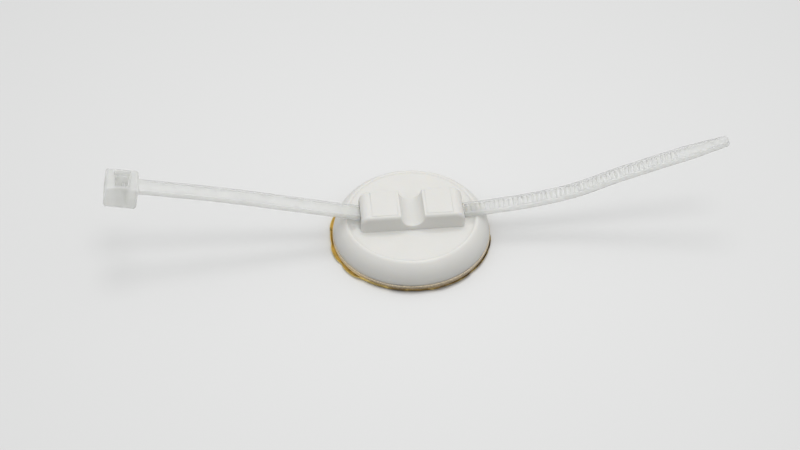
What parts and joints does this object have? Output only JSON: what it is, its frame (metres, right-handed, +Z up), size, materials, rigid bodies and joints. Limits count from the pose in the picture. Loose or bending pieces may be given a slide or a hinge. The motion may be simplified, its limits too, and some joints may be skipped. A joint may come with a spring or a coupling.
{
  "type": "self-adhesive cable tie mount",
  "caption": "Round stick-on base with a saddle for a cable and a strap tunnel, holding a nylon cable tie whose head and tail stand up at each side.",
  "frame": {"origin": "middle of the round base, on the surface that it lies on", "axes": "+Z up out of the surface, +X along the cable tie towards its tail, Y along the cable in the saddle"},
  "size_m": [0.0973, 0.0257, 0.0166],
  "materials": {
    "white_moulding": "smooth satin moulding, white",
    "foam_pad": "soft acrylic foam, cream",
    "amber_liner": "glossy silicone-coated film, amber gold",
    "natural_nylon": "translucent natural nylon, satin"
  },
  "bodies": {
    "root": {"mount_base": "white_moulding", "adhesive_pad": "foam_pad", "release_liner": "amber_liner", "cable_tie": "natural_nylon"}
  },
  "joints": []
}
